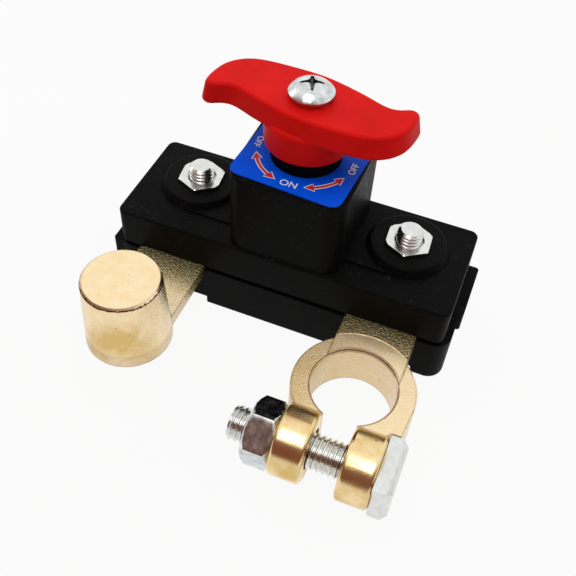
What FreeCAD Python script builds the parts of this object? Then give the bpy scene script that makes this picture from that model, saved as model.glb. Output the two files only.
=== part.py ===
import FreeCAD, Part
import math
import os
import Sketcher

# Battery disconnect switch: a two-part moulded box on two brass terminals, switched by a red handle.
# The origin lies on the underside of the box, below the axis of the handle. X runs along the box,
# Y runs from the terminals (front) to the back, Z is up. Lengths are millimetres.

from FreeCAD import Placement, Rotation, Vector

doc = FreeCAD.newDocument("battery_disconnect_switch")
sheet = doc.addObject("Spreadsheet::Sheet", "Sizes")

# Driving dimensions, each with what it measures
SIZES = [
    ("overlap", 1.0, "how far features reach into each other so that they join or cut cleanly"),
    # Lower half of the box
    ("base_length", 84.5, "length of the lower half without its end lugs"),
    ("box_shift", 0.65, "how far the box's middle lies to the left of the handle's axis"),
    ("base_width", 28.5, "width of both halves"),
    ("base_height", 12.4, "height of the lower half's rim"),
    ("base_corner", 4.0, "upright corner radius"),
    ("base_edge", 1.0, "radius along the foot edge"),
    ("lug_reach", 0.9, "how far an end lug stands out"),
    ("lug_length", 16.4, "length of an end lug along the box's end"),
    ("lug_inset", 0.6, "distance of an end lug from the box's corner"),
    ("lug_round", 0.8, "radius on an end lug's upright corners"),
    ("lug_foot", 7.0, "height at which an end lug starts"),
    ("relief_depth", 2.1, "set-back of the front wall under a bar"),
    ("relief_round", 0.9, "radius in the corners of that set-back"),
    ("cavity_floor", 8.0, "floor of the round contact cavity"),
    ("cavity_boss", 5.5, "radius of the bearing boss in the cavity"),
    ("rest_near", 6.8, "near edge of an insulating rest, from the axis"),
    ("rest_far", 9.8, "far edge of an insulating rest, from the axis"),
    ("rest_width", 9.0, "width of an insulating rest"),
    # Upper half of the box
    ("seam_height", 1.4, "height of the shadow groove between the halves"),
    ("seam_depth", 1.0, "depth of the shadow groove"),
    ("cover_inset", 1.6, "how far the upper half stands back from the lower half at each end"),
    ("cover_thickness", 9.6, "height of the upper half's plate above the groove"),
    ("cover_corner", 2.0, "upright corner radius of the plate"),
    ("turret_length", 26.9, "length of the raised housing of the spindle"),
    ("turret_ledge", 0.5, "ledge in front of the raised housing"),
    ("turret_height", 20.5, "height of the raised housing above the plate"),
    ("turret_corner", 4.0, "upright corner radius of the raised housing"),
    ("turret_roof", 4.0, "roof thickness of the raised housing"),
    ("neck_radius", 7.6, "radius of the round neck on the roof"),
    ("neck_height", 3.7, "height of the round neck"),
    ("chamber_radius", 11.4, "radius of the chamber for the contact carrier"),
    ("boss_foot", 10.0, "radius of a bolt boss at its foot"),
    ("boss_rim", 8.75, "radius of a bolt boss at its rim"),
    ("boss_height", 2.0, "height of a bolt boss"),
    ("pad_rise", 0.5, "height of the low pad between a boss and the raised housing"),
    ("mould_edge", 0.5, "small radius on moulded edges"),
    # Bolts that hold the box together
    ("bolt_x", 26.2, "distance of a box bolt from the box's middle"),
    ("bolt_y", 2.3, "offset of the box bolts towards the back"),
    ("bolt_radius", 3.0, "thread radius of a box bolt"),
    ("bolt_play", 0.2, "radial clearance of a bolt in its holes"),
    ("nut_across", 10.0, "across flats of a box nut and bolt head"),
    ("nut_height", 5.0, "height of a box nut"),
    ("nut_proud", 0.9, "how far a box nut stands above its boss"),
    ("nut_play", 0.15, "clearance around a box nut or head in its pocket"),
    ("nut_turn_left", 36.5, "angle of a corner of the left nut's pocket, in degrees"),
    ("nut_turn_right", 34.0, "angle of a corner of the right nut's pocket, in degrees"),
    ("nut_corner", 0.57, "radius at which a nut's corners are cut off, as a share of its width across flats"),
    ("head_height", 4.0, "height of a box bolt's head"),
    ("head_sunk", 0.5, "depth of a bolt head below the underside"),
    ("bolt_tip", 3.2, "length of a bolt above its nut"),
    ("tip_bevel", 0.5, "bevel at a bolt's tip"),
    # Brass bars, post and clamp
    ("bar_thickness", 3.0, "thickness of a terminal's bar"),
    ("bar_width", 17.0, "width of a terminal's bar"),
    ("post_bar_x", 27.2, "distance of the post's bar from the axis"),
    ("clamp_bar_x", 25.7, "distance of the clamp's bar from the axis"),
    ("bar_back", 9.0, "how far a bar reaches behind the axis"),
    ("bar_play", 0.3, "side clearance of a bar in its channel"),
    ("tongue_width", 8.0, "width of the inner contact tongue"),
    ("tongue_end", 7.5, "distance of a tongue's end from the axis"),
    ("post_x", 26.7, "distance of the post from the axis"),
    ("post_y", 36.9, "distance of the post in front of the axis"),
    ("post_top_radius", 8.75, "radius of the post at its top"),
    ("post_taper", 18.0, "drop of the post for each unit of radius"),
    ("post_height", 18.3, "height of the post above the bar's underside"),
    ("post_edge", 0.5, "bevel around the post's top"),
    ("ring_x", 25.3, "distance of the clamp ring from the axis"),
    ("ring_y", 32.4, "distance of the clamp ring in front of the axis"),
    ("ring_radius", 13.75, "outer radius of the clamp ring"),
    ("bore_radius", 9.4, "radius of the clamp's bore"),
    ("ring_height", 10.4, "height of the clamp ring"),
    ("ring_drop", 0.4, "how far the ring's top lies below the bar's top"),
    ("ear_radius", 8.0, "radius of a clamp ear about the clamp bolt"),
    ("ear_width", 7.2, "width of a clamp ear along the clamp bolt"),
    ("ear_gap", 7.6, "gap between the clamp ears"),
    ("ear_foot", 0.1, "height of the ears' lowest line"),
    ("ear_edge", 0.9, "radius on the ears' rims"),
    ("ring_edge", 0.35, "bevel on the ring's rims"),
    ("clamp_bolt_y", 47.2, "distance of the clamp bolt in front of the axis"),
    ("clamp_bolt_radius", 3.95, "thread radius of the clamp bolt"),
    ("clamp_bolt_play", 0.6, "radial clearance of the clamp bolt in the ears"),
    ("clamp_bolt_drop", 0.5, "how far the clamp bolt hangs below the middle of its holes"),
    ("clamp_nut_across", 13.4, "across flats of the clamp nut"),
    ("clamp_nut_height", 6.6, "height of the clamp nut"),
    ("clamp_nut_turn", 37.0, "angle of the clamp nut's first corner, in degrees"),
    ("clamp_bolt_tip", 4.3, "length of the clamp bolt past its nut"),
    ("square_across", 13.0, "across flats of the square bolt head"),
    ("square_round", 8.0, "radius that rounds the square head's corners"),
    ("square_height", 4.2, "height of the square bolt head"),
    ("stop_play", 0.4, "gap between the square head and its stop"),
    ("stop_reach", 13.1, "reach of the stop to the side of the ring's middle"),
    ("thread_play", 0.05, "radial clearance of a thread in its nut"),
    ("washer_play", 0.2, "radial clearance of a washer about its shaft"),
    # Rotor: spindle, contact parts and handle
    ("shaft_radius", 5.0, "radius of the spindle in its bore"),
    ("shaft_play", 0.05, "radial running clearance of the spindle"),
    ("flange_radius", 9.5, "radius of the spindle's flange"),
    ("flange_thickness", 2.5, "thickness of the spindle's flange"),
    ("thrust_thickness", 0.8, "thickness of the thrust washer"),
    ("thrust_radius", 9.0, "outer radius of the thrust washer"),
    ("face_play", 0.05, "running clearance between flat faces"),
    ("drive_width", 8.0, "width of the square that drives the carrier"),
    ("drive_play", 0.05, "clearance around a driving square"),
    ("pivot_radius", 3.0, "radius of the lower pivot"),
    ("pivot_depth", 8.4, "depth of the lower pivot's bearing"),
    ("pivot_gap", 0.5, "gap below the lower pivot"),
    ("head_drive", 7.0, "width of the square that drives the handle"),
    ("head_drive_height", 7.2, "height of the square that drives the handle"),
    ("socket_gap", 0.3, "gap above that square in the handle's socket"),
    ("tapped_depth", 12.0, "depth of the tapped hole for the handle screw"),
    ("seal_wire", 0.9, "half thickness of the spindle's seal ring"),
    ("seal_height", 2.2, "height of the seal ring above the roof's inner face"),
    ("seal_play", 0.03, "clearance of the seal ring in groove and bore"),
    ("bridge_reach", 10.6, "reach of the contact bridge from the axis"),
    ("bridge_width", 10.0, "width of the contact bridge"),
    ("bridge_thickness", 2.5, "thickness of the contact bridge"),
    ("carrier_radius", 10.4, "radius of the contact carrier"),
    ("carrier_height", 4.2, "height of the contact carrier"),
    ("carrier_grip", 1.5, "depth of the carrier's groove for the bridge"),
    ("spring_radius", 7.5, "mean radius of the contact spring"),
    ("spring_wire", 0.7, "half thickness of the spring's wire"),
    ("spring_turns", 3.5, "turns of the contact spring"),
    ("hub_gap", 0.5, "gap between the neck and the handle's hub"),
    ("hub_foot_radius", 9.4, "radius of the handle's hub at its foot"),
    ("hub_top_radius", 9.8, "radius of the handle's hub under the grip"),
    ("hub_height", 6.0, "height of the handle's hub"),
    ("hub_edge", 0.8, "radius along the hub's foot"),
    ("hub_rise", 1.4, "how far the hub swells up the sides of the grip"),
    ("hub_blend", 1.2, "radius where the hub runs out into the grip's sides"),
    ("grip_length", 44.0, "length of the handle's grip"),
    ("grip_width", 16.8, "width of the handle's grip"),
    ("grip_height", 5.2, "height of the handle's grip"),
    ("grip_spread", 1.0, "how much wider the grip is at its underside, each side"),
    ("grip_edge", 0.9, "radius along the grip's edges"),
    ("screw_radius", 2.45, "thread radius of the handle screw"),
    ("screw_length", 13.0, "length of the handle screw under its head"),
    ("screw_head", 4.85, "radius of the handle screw's head"),
    ("screw_dome", 2.6, "height of the handle screw's head"),
    ("cross_width", 1.1, "width of the cross recess"),
    ("cross_length", 4.8, "length of the cross recess"),
    ("cross_depth", 1.6, "depth of the cross recess"),
    ("cross_turn", 20.0, "angle of the cross recess, in degrees"),
    ("spring_washer_radius", 4.2, "outer radius of the handle's spring washer"),
    ("spring_washer_thickness", 1.1, "thickness of the handle's spring washer"),
    ("washer_slit", 0.7, "width of the slit in the spring washer"),
    # Printed plate on the roof
    ("label_side", 25.8, "side of the printed plate"),
    ("label_corner", 2.5, "corner radius of the printed plate"),
    ("label_thickness", 0.25, "thickness of the printed plate"),
    ("label_hole", 7.9, "radius of the printed plate's hole"),
    ("label_turn", -3.5, "skew of the printed plate, in degrees"),
]
for row, (name, number, meaning) in enumerate(SIZES, start=1):
    sheet.set("A%d" % row, name)
    sheet.set("B%d" % row, str(number))
    sheet.setAlias("B%d" % row, name)
    sheet.set("C%d" % row, meaning)
doc.recompute()

# Heights and places that several pieces share, as expressions over the sheet
SEAM_TOP = "(Sizes.base_height + Sizes.seam_height)"
BAR_FOOT = "(Sizes.base_height + Sizes.seam_height - Sizes.bar_thickness)"
COVER_TOP = "(Sizes.base_height + Sizes.seam_height + Sizes.cover_thickness)"
ROOF_TOP = "(%s + Sizes.turret_height)" % COVER_TOP
ROOF_UNDER = "(%s - Sizes.turret_roof)" % ROOF_TOP
NECK_TOP = "(%s + Sizes.neck_height)" % ROOF_TOP
BOSS_TOP = "(%s + Sizes.boss_height)" % COVER_TOP
NUT_SEAT = "(%s + Sizes.nut_proud - Sizes.nut_height)" % BOSS_TOP
FRONT = "(-Sizes.base_width / 2)"
BACK = "(Sizes.base_width / 2)"
LEFT_END = "(-Sizes.box_shift - Sizes.base_length / 2)"
RIGHT_END = "(-Sizes.box_shift + Sizes.base_length / 2)"
COVER_LEFT = "(%s + Sizes.cover_inset)" % LEFT_END
COVER_RIGHT = "(%s - Sizes.cover_inset)" % RIGHT_END
RING_TOP = "(%s - Sizes.ring_drop)" % SEAM_TOP
RING_FOOT = "(%s - Sizes.ring_height)" % RING_TOP
EARS_Z = "(Sizes.ear_foot + Sizes.ear_radius)"
CLAMP_BOLT_Z = "(%s - Sizes.clamp_bolt_drop)" % EARS_Z
EARS_LEFT = "(Sizes.ring_x - Sizes.ear_gap / 2 - Sizes.ear_width)"
EARS_RIGHT = "(Sizes.ring_x + Sizes.ear_gap / 2 + Sizes.ear_width)"
FLANGE_TOP = "(%s - Sizes.thrust_thickness - 2 * Sizes.face_play)" % ROOF_UNDER
FLANGE_FOOT = "(%s - Sizes.flange_thickness)" % FLANGE_TOP
BRIDGE_FOOT = "(%s + Sizes.face_play)" % SEAM_TOP
BRIDGE_TOP = "(%s + Sizes.bridge_thickness)" % BRIDGE_FOOT
CARRIER_FOOT = "(%s + Sizes.face_play - Sizes.carrier_grip)" % BRIDGE_TOP
CARRIER_TOP = "(%s + Sizes.carrier_height)" % CARRIER_FOOT
HUB_FOOT = "(%s + Sizes.hub_gap)" % NECK_TOP
GRIP_FOOT = "(%s + Sizes.hub_height)" % HUB_FOOT
GRIP_TOP = "(%s + Sizes.grip_height)" % GRIP_FOOT
HUB_RIM = "(%s + Sizes.hub_rise)" % GRIP_FOOT
SCREW_SEAT = "(%s + Sizes.spring_washer_thickness)" % GRIP_TOP


# Rough size at which a sketch's lines and circles start, before its constraints set them
ROUGH = 10.0


def pin(sketch, geometry, point, x, y):
    """Ties one point of a sketch to a pair of expressions; the text 0 puts it on the axis."""
    for kind, axis, text in (("DistanceX", -2, x), ("DistanceY", -1, y)):
        if text == "0":
            sketch.addConstraint(Sketcher.Constraint("PointOnObject", geometry, point, axis))
            continue
        index = sketch.addConstraint(Sketcher.Constraint(kind, -1, 1, geometry, point, 1.0))
        sketch.setExpression("Constraints[%d]" % index, text)


def add_outline(sketch, corners):
    """Adds a closed outline of straight lines through corners given as pairs of expressions."""
    first = sketch.GeometryCount
    count = len(corners)
    spots = [Vector(ROUGH * math.cos(2 * math.pi * i / count), ROUGH * math.sin(2 * math.pi * i / count), 0)
             for i in range(count)]
    for i in range(count):
        sketch.addGeometry(Part.LineSegment(spots[i], spots[(i + 1) % count]), False)
    for i, (x, y) in enumerate(corners):
        sketch.addConstraint(Sketcher.Constraint("Coincident", first + i, 2, first + (i + 1) % count, 1))
        pin(sketch, first + i, 1, x, y)


def add_rectangle(sketch, left, right, front, back):
    """Adds a rectangle between four expressions."""
    add_outline(sketch, [(left, front), (right, front), (right, back), (left, back)])


def add_circle(sketch, x, y, radius):
    """Adds a circle whose middle and radius are expressions."""
    index = sketch.addGeometry(Part.Circle(Vector(0, 0, 0), Vector(0, 0, 1), ROUGH), False)
    pin(sketch, index, 3, x, y)
    size = sketch.addConstraint(Sketcher.Constraint("Radius", index, ROUGH))
    sketch.setExpression("Constraints[%d]" % size, radius)


def hexagon_corners(x, y, across, turn):
    """Corner expressions of a hexagon about (x, y), given its width across flats and its angle."""
    return [("%s + (%s) / sqrt(3) * cos(%s + %d deg)" % (x, across, turn, 60 * i),
             "%s + (%s) / sqrt(3) * sin(%s + %d deg)" % (y, across, turn, 60 * i)) for i in range(6)]


def new_body(label):
    """An empty body that becomes one node."""
    body = doc.addObject("PartDesign::Body", label)
    body.Label = label
    return body


def new_sketch(body, name, height="0", role="XY_Plane"):
    """A sketch on one of the body's own origin planes, moved off it by an expression."""
    sketch = body.newObject("Sketcher::SketchObject", name)
    plane = [item for item in body.Origin.OriginFeatures if item.Role == role][0]
    sketch.AttachmentSupport = [(plane, "")]
    sketch.MapMode = "FlatFace"
    sketch.setExpression("AttachmentOffset.Base.z", height)
    return sketch


def pad(body, sketch, length):
    """Adds material from the sketch along its normal."""
    feature = body.newObject("PartDesign::Pad", "Pad_" + sketch.Name)
    feature.Profile = sketch
    feature.setExpression("Length", length)
    doc.recompute()
    return feature


def pocket(body, sketch, depth=None, upward=False):
    """Cuts from the sketch, against its normal or upward; with no depth it cuts right through."""
    feature = body.newObject("PartDesign::Pocket", "Pocket_" + sketch.Name)
    feature.Profile = sketch
    feature.Reversed = upward
    if depth is None:
        feature.Type = "ThroughAll"
    else:
        feature.setExpression("Length", depth)
    doc.recompute()
    return feature


def upright_edges(shape, spots, reach=0.6, tall=1.0):
    """Names of the edges along Z, at least so tall, that pass within reach of one of the (x, y) spots."""
    names = []
    for number, edge in enumerate(shape.Edges, start=1):
        low, high = edge.BoundBox.getPoint(0), edge.BoundBox.getPoint(6)
        if abs(high.z - low.z) < tall or edge.BoundBox.XLength > 0.01 or edge.BoundBox.YLength > 0.01:
            continue
        if any(abs(low.x - x) < reach and abs(low.y - y) < reach for x, y in spots):
            names.append("Edge%d" % number)
    return names


def level_edges(shape, height, inside=None):
    """Names of the edges that lie at one height; inside is a test of an edge's middle."""
    names = []
    for number, edge in enumerate(shape.Edges, start=1):
        box = edge.BoundBox
        if abs(box.ZMin - height) > 0.01 or abs(box.ZMax - height) > 0.01:
            continue
        if inside is None or inside(edge.CenterOfMass):
            names.append("Edge%d" % number)
    return names


def dress(body, kind, edges, size):
    """A fillet or chamfer on named edges of the body's last shape."""
    base = body.Tip
    feature = body.newObject("PartDesign::" + kind, kind + "_" + base.Name)
    feature.Base = (base, edges)
    feature.setExpression("Radius" if kind == "Fillet" else "Size", size)
    doc.recompute()
    return feature


def place(item, x="0", y="0", z="0"):
    """Binds an object's position to expressions."""
    for axis, text in (("x", x), ("y", y), ("z", z)):
        if text != "0":
            item.setExpression("Placement.Base." + axis, text)
    return item


def cylinder(name, radius, height, x="0", y="0", z="0", turn=None):
    """A cylinder primitive bound to expressions; turn lays its axis over."""
    item = doc.addObject("Part::Cylinder", name)
    if turn is not None:
        item.Placement = Placement(Vector(), turn)
    item.setExpression("Radius", radius)
    item.setExpression("Height", height)
    return place(item, x, y, z)


def block(name, length, width, height, x, y, z):
    """A box primitive whose middle in plan is at (x, y) and whose foot is at z."""
    item = doc.addObject("Part::Box", name)
    item.setExpression("Length", length)
    item.setExpression("Width", width)
    item.setExpression("Height", height)
    return place(item, "%s - (%s) / 2" % (x, length), "%s - (%s) / 2" % (y, width), z)


def prism(name, across, height, turn):
    """A hexagonal prism on the origin, given its width across flats; turn is its angle."""
    item = doc.addObject("Part::Prism", name)
    item.Polygon = 6
    item.setExpression("Circumradius", "(%s) / sqrt(3)" % across)
    item.setExpression("Height", height)
    item.Placement = Placement(Vector(), Rotation(Vector(0, 0, 1), 0))
    item.setExpression("Placement.Rotation.Angle", turn)
    return item


def cut(name, base, tool):
    """One solid less another."""
    item = doc.addObject("Part::Cut", name)
    item.Base = base
    item.Tool = tool
    return item


def fuse(name, pieces):
    """Several solids as one."""
    item = doc.addObject("Part::MultiFuse", name)
    item.Shapes = pieces
    item.Refine = True
    return item


def common(name, first, second):
    """What two solids share."""
    item = doc.addObject("Part::MultiCommon", name)
    item.Shapes = [first, second]
    return item


def number(name):
    """A driving dimension as a plain number."""
    return float(sheet.get(name))


ALONG_X = Rotation(Vector(0, 1, 0), 90)
parts = []


# Plan of a bar with its inner tongue: side is -1 for the post's bar and +1 for the clamp's
def bar_plan(side, middle, front, play="0"):
    """Corners of a bar's plan with its tongue towards the axis, widened by a clearance."""
    sign = "" if side > 0 else "-"
    outer = "%s(Sizes.%s + Sizes.bar_width / 2 + %s)" % (sign, middle, play)
    inner = "%s(Sizes.%s - Sizes.bar_width / 2 - %s)" % (sign, middle, play)
    end = "%s(Sizes.tongue_end - %s)" % (sign, play)
    half = "(Sizes.tongue_width / 2 + %s)" % play
    back = "Sizes.bar_back + %s" % play
    return [(outer, front), (inner, front), (inner, "-" + half), (end, "-" + half),
            (end, half), (inner, half), (inner, back), (outer, back)]


BARS = [(-1, "post_bar_x"), (1, "clamp_bar_x")]
BOLTS = [("left", "(-Sizes.box_shift - Sizes.bolt_x)"), ("right", "(-Sizes.box_shift + Sizes.bolt_x)")]

# Lower half of the box
base = new_body("base_housing")
sketch = new_sketch(base, "base_plan")
add_rectangle(sketch, LEFT_END, RIGHT_END, FRONT, BACK)
pad(base, sketch, "Sizes.base_height")
half_length, half_width, shift = number("base_length") / 2, number("base_width") / 2, number("box_shift")
corners = [(sx * half_length - shift, sy * half_width) for sx in (-1, 1) for sy in (-1, 1)]
dress(base, "Fillet", upright_edges(base.Tip.Shape, corners), "Sizes.base_corner")
dress(base, "Fillet", level_edges(base.Tip.Shape, 0), "Sizes.base_edge")

# A lug on each end, at opposite corners
sketch = new_sketch(base, "lug_plan", "Sizes.lug_foot")
LUG_FAR = "(Sizes.base_width / 2 - Sizes.lug_inset)"
LUG_NEAR = "(Sizes.base_width / 2 - Sizes.lug_inset - Sizes.lug_length)"
add_rectangle(sketch, RIGHT_END + " - Sizes.base_corner", RIGHT_END + " + Sizes.lug_reach", LUG_NEAR, LUG_FAR)
add_rectangle(sketch, LEFT_END + " - Sizes.lug_reach", LEFT_END + " + Sizes.base_corner",
              "-" + LUG_FAR, "-" + LUG_NEAR)
pad(base, sketch, "Sizes.base_height - Sizes.lug_foot")
lug_out = half_length + number("lug_reach")
lug_far = half_width - number("lug_inset")
lug_near = lug_far - number("lug_length")
lug_corners = [(side * lug_out - shift, side * y) for side in (-1, 1) for y in (lug_near, lug_far)]
dress(base, "Fillet", upright_edges(base.Tip.Shape, lug_corners), "Sizes.lug_round")

# Channels for the bars, and the front wall set back under them
sketch = new_sketch(base, "bar_channels", "Sizes.base_height")
for side, middle in BARS:
    add_outline(sketch, bar_plan(side, middle, "-Sizes.base_width", "Sizes.bar_play"))
pocket(base, sketch, "Sizes.base_height - " + BAR_FOOT)
sketch = new_sketch(base, "bar_reliefs", "Sizes.base_height")
for side, middle in BARS:
    sign = "" if side > 0 else "-"
    ends = ["%s(Sizes.%s %s (Sizes.bar_width / 2 + Sizes.bar_play))" % (sign, middle, way) for way in "+-"]
    add_rectangle(sketch, ends[0], ends[1], "-Sizes.base_width", FRONT + " + Sizes.relief_depth")
pocket(base, sketch)
half_channel = number("bar_width") / 2 + number("bar_play")
relief_y = number("relief_depth") - half_width
relief_corners = [(side * (number(middle) + way * half_channel), relief_y)
                  for side, middle in BARS for way in (-1, 1)]
dress(base, "Fillet", upright_edges(base.Tip.Shape, relief_corners), "Sizes.relief_round")

# Round contact cavity about the bearing boss, with two insulating rests for the open bridge
sketch = new_sketch(base, "contact_cavity", "Sizes.base_height")
add_circle(sketch, "0", "0", "Sizes.chamber_radius")
add_circle(sketch, "0", "0", "Sizes.cavity_boss")
pocket(base, sketch, "Sizes.base_height - Sizes.cavity_floor")
sketch = new_sketch(base, "bridge_rests", "Sizes.cavity_floor - Sizes.overlap")
for sign in ("", "-"):
    add_rectangle(sketch, "-Sizes.rest_width / 2", "Sizes.rest_width / 2",
                  sign + "Sizes.rest_near", sign + "Sizes.rest_far")
pad(base, sketch, SEAM_TOP + " - Sizes.cavity_floor + Sizes.overlap")
sketch = new_sketch(base, "pivot_bearing", "Sizes.base_height")
add_circle(sketch, "0", "0", "Sizes.pivot_radius + Sizes.shaft_play")
pocket(base, sketch, "Sizes.pivot_depth")

# Holes for the box bolts, with six-sided pockets for their heads on the underside
sketch = new_sketch(base, "bolt_holes", "Sizes.base_height")
for side, x in BOLTS:
    add_circle(sketch, x, "Sizes.bolt_y", "Sizes.bolt_radius + Sizes.bolt_play")
pocket(base, sketch)
sketch = new_sketch(base, "head_pockets")
for side, x in BOLTS:
    add_outline(sketch, hexagon_corners(x, "Sizes.bolt_y", "Sizes.nut_across + 2 * Sizes.nut_play",
                                        "Sizes.nut_turn_%s * 1 deg" % side))
pocket(base, sketch, "Sizes.head_sunk + Sizes.head_height", upward=True)
parts.append(base)

# Upper half of the box
cover = new_body("cover_housing")
sketch = new_sketch(cover, "cover_plan", "Sizes.base_height")
add_rectangle(sketch, COVER_LEFT, COVER_RIGHT, FRONT, BACK)
pad(cover, sketch, "Sizes.seam_height + Sizes.cover_thickness")
half_length -= number("cover_inset")
corners = [(sx * half_length - shift, sy * half_width) for sx in (-1, 1) for sy in (-1, 1)]
dress(cover, "Fillet", upright_edges(cover.Tip.Shape, corners), "Sizes.cover_corner")
cover_top = number("base_height") + number("seam_height") + number("cover_thickness")
dress(cover, "Fillet", level_edges(cover.Tip.Shape, cover_top), "Sizes.mould_edge")

# Raised housing of the spindle, set back from the front by a ledge and flush at the back
sketch = new_sketch(cover, "turret_plan", "Sizes.base_height")
add_rectangle(sketch, "-Sizes.turret_length / 2", "Sizes.turret_length / 2",
              FRONT + " + Sizes.turret_ledge", BACK)
pad(cover, sketch, ROOF_TOP + " - Sizes.base_height")
sides = [-number("turret_length") / 2, number("turret_length") / 2]
fronts = [-half_width + number("turret_ledge"), half_width]
dress(cover, "Fillet", upright_edges(cover.Tip.Shape, [(x, y) for x in sides for y in fronts]),
      "Sizes.turret_corner")
roof_top = cover_top + number("turret_height")
dress(cover, "Fillet", level_edges(cover.Tip.Shape, roof_top), "Sizes.mould_edge")

# Low pads that join the bolt bosses to the raised housing, then the bosses themselves
sketch = new_sketch(cover, "boss_pads", COVER_TOP + " - Sizes.overlap")
for (side, x), sign in zip(BOLTS, ("-", "")):
    add_rectangle(sketch, sign + "(Sizes.turret_length / 2 - Sizes.overlap)", x,
                  "Sizes.bolt_y - Sizes.boss_foot", "Sizes.bolt_y + Sizes.boss_foot")
pad(cover, sketch, "Sizes.pad_rise + Sizes.overlap")
for side, x in BOLTS:
    cone = cover.newObject("PartDesign::AdditiveCone", "boss_" + side)
    slope = "(Sizes.boss_foot - Sizes.boss_rim) / Sizes.boss_height"
    cone.setExpression("Radius1", "Sizes.boss_foot + Sizes.overlap * " + slope)
    cone.setExpression("Radius2", "Sizes.boss_rim")
    cone.setExpression("Height", "Sizes.boss_height + Sizes.overlap")
    place(cone, x, "Sizes.bolt_y", COVER_TOP + " - Sizes.overlap")
    doc.recompute()
boss_top = cover_top + number("boss_height")
dress(cover, "Fillet", level_edges(cover.Tip.Shape, boss_top), "Sizes.mould_edge")

# Neck about the spindle
sketch = new_sketch(cover, "neck_plan", ROOF_TOP + " - Sizes.overlap")
add_circle(sketch, "0", "0", "Sizes.neck_radius")
pad(cover, sketch, "Sizes.neck_height + Sizes.overlap")
neck_top = roof_top + number("neck_height")
dress(cover, "Fillet", level_edges(cover.Tip.Shape, neck_top), "Sizes.mould_edge")

# Shadow groove around the foot, and the channels that close over the bars
sketch = new_sketch(cover, "seam_groove", "Sizes.base_height")
add_rectangle(sketch, "-Sizes.base_length", "Sizes.base_length", "-Sizes.base_width", "Sizes.base_width")
add_rectangle(sketch, COVER_LEFT + " + Sizes.seam_depth", COVER_RIGHT + " - Sizes.seam_depth",
              FRONT + " + Sizes.seam_depth", BACK + " - Sizes.seam_depth")
pocket(cover, sketch, "Sizes.seam_height", upward=True)
sketch = new_sketch(cover, "bar_covers", "Sizes.base_height")
for side, middle in BARS:
    add_outline(sketch, bar_plan(side, middle, "-Sizes.base_width", "Sizes.bar_play"))
pocket(cover, sketch, "Sizes.seam_height", upward=True)

# Chamber for the contact parts, bore for the spindle, bolt holes and nut pockets
sketch = new_sketch(cover, "chamber", "Sizes.base_height")
add_circle(sketch, "0", "0", "Sizes.chamber_radius")
pocket(cover, sketch, ROOF_UNDER + " - Sizes.base_height", upward=True)
sketch = new_sketch(cover, "spindle_bore", NECK_TOP)
add_circle(sketch, "0", "0", "Sizes.shaft_radius + Sizes.shaft_play")
pocket(cover, sketch)
sketch = new_sketch(cover, "cover_holes", BOSS_TOP)
for side, x in BOLTS:
    add_circle(sketch, x, "Sizes.bolt_y", "Sizes.bolt_radius + Sizes.bolt_play")
pocket(cover, sketch)
sketch = new_sketch(cover, "nut_pockets", BOSS_TOP)
for side, x in BOLTS:
    add_outline(sketch, hexagon_corners(x, "Sizes.bolt_y", "Sizes.nut_across + 2 * Sizes.nut_play",
                                        "Sizes.nut_turn_%s * 1 deg" % side))
pocket(cover, sketch, "%s - %s" % (BOSS_TOP, NUT_SEAT))
parts.append(cover)

# Printed plate on the roof, glued on a little askew
label = new_body("label_plate")
sketch = new_sketch(label, "label_plan")
add_rectangle(sketch, "-Sizes.label_side / 2", "Sizes.label_side / 2",
              "-Sizes.label_side / 2", "Sizes.label_side / 2")
pad(label, sketch, "Sizes.label_thickness")
half = number("label_side") / 2
corners = [(sx * half, sy * half) for sx in (-1, 1) for sy in (-1, 1)]
dress(label, "Fillet", upright_edges(label.Tip.Shape, corners, tall=0.1), "Sizes.label_corner")
sketch = new_sketch(label, "label_hole", "Sizes.label_thickness")
add_circle(sketch, "0", "0", "Sizes.label_hole")
pocket(label, sketch)
label.setExpression("Placement.Rotation.Angle", "Sizes.label_turn * 1 deg")
place(label, "0", "0", ROOF_TOP)
parts.append(label)


def add_bar(body, side, middle, front):
    """Adds a terminal's bar with its tongue to the terminal's body."""
    plan = new_sketch(body, body.Label + "_bar", BAR_FOOT)
    add_outline(plan, bar_plan(side, middle, front))
    pad(body, plan, "Sizes.bar_thickness")


def bolt_eye(body, x):
    """The hole through a bar for a box bolt."""
    plan = new_sketch(body, body.Label + "_eye", SEAM_TOP)
    add_circle(plan, x, "Sizes.bolt_y", "Sizes.bolt_radius + Sizes.bolt_play")
    pocket(body, plan)


# Terminal with the tapered post, cast in one piece with its bar
post = new_body("post_terminal")
add_bar(post, *BARS[0], "-Sizes.post_y")
cone = post.newObject("PartDesign::AdditiveCone", "post")
cone.setExpression("Radius1", "Sizes.post_top_radius + Sizes.post_height / Sizes.post_taper")
cone.setExpression("Radius2", "Sizes.post_top_radius")
cone.setExpression("Height", "Sizes.post_height")
place(cone, "-Sizes.post_x", "-Sizes.post_y", BAR_FOOT)
doc.recompute()
seam_top = number("base_height") + number("seam_height")
post_top = seam_top - number("bar_thickness") + number("post_height")
dress(post, "Chamfer", level_edges(post.Tip.Shape, post_top), "Sizes.post_edge")
bolt_eye(post, BOLTS[0][1])
parts.append(post)

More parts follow.
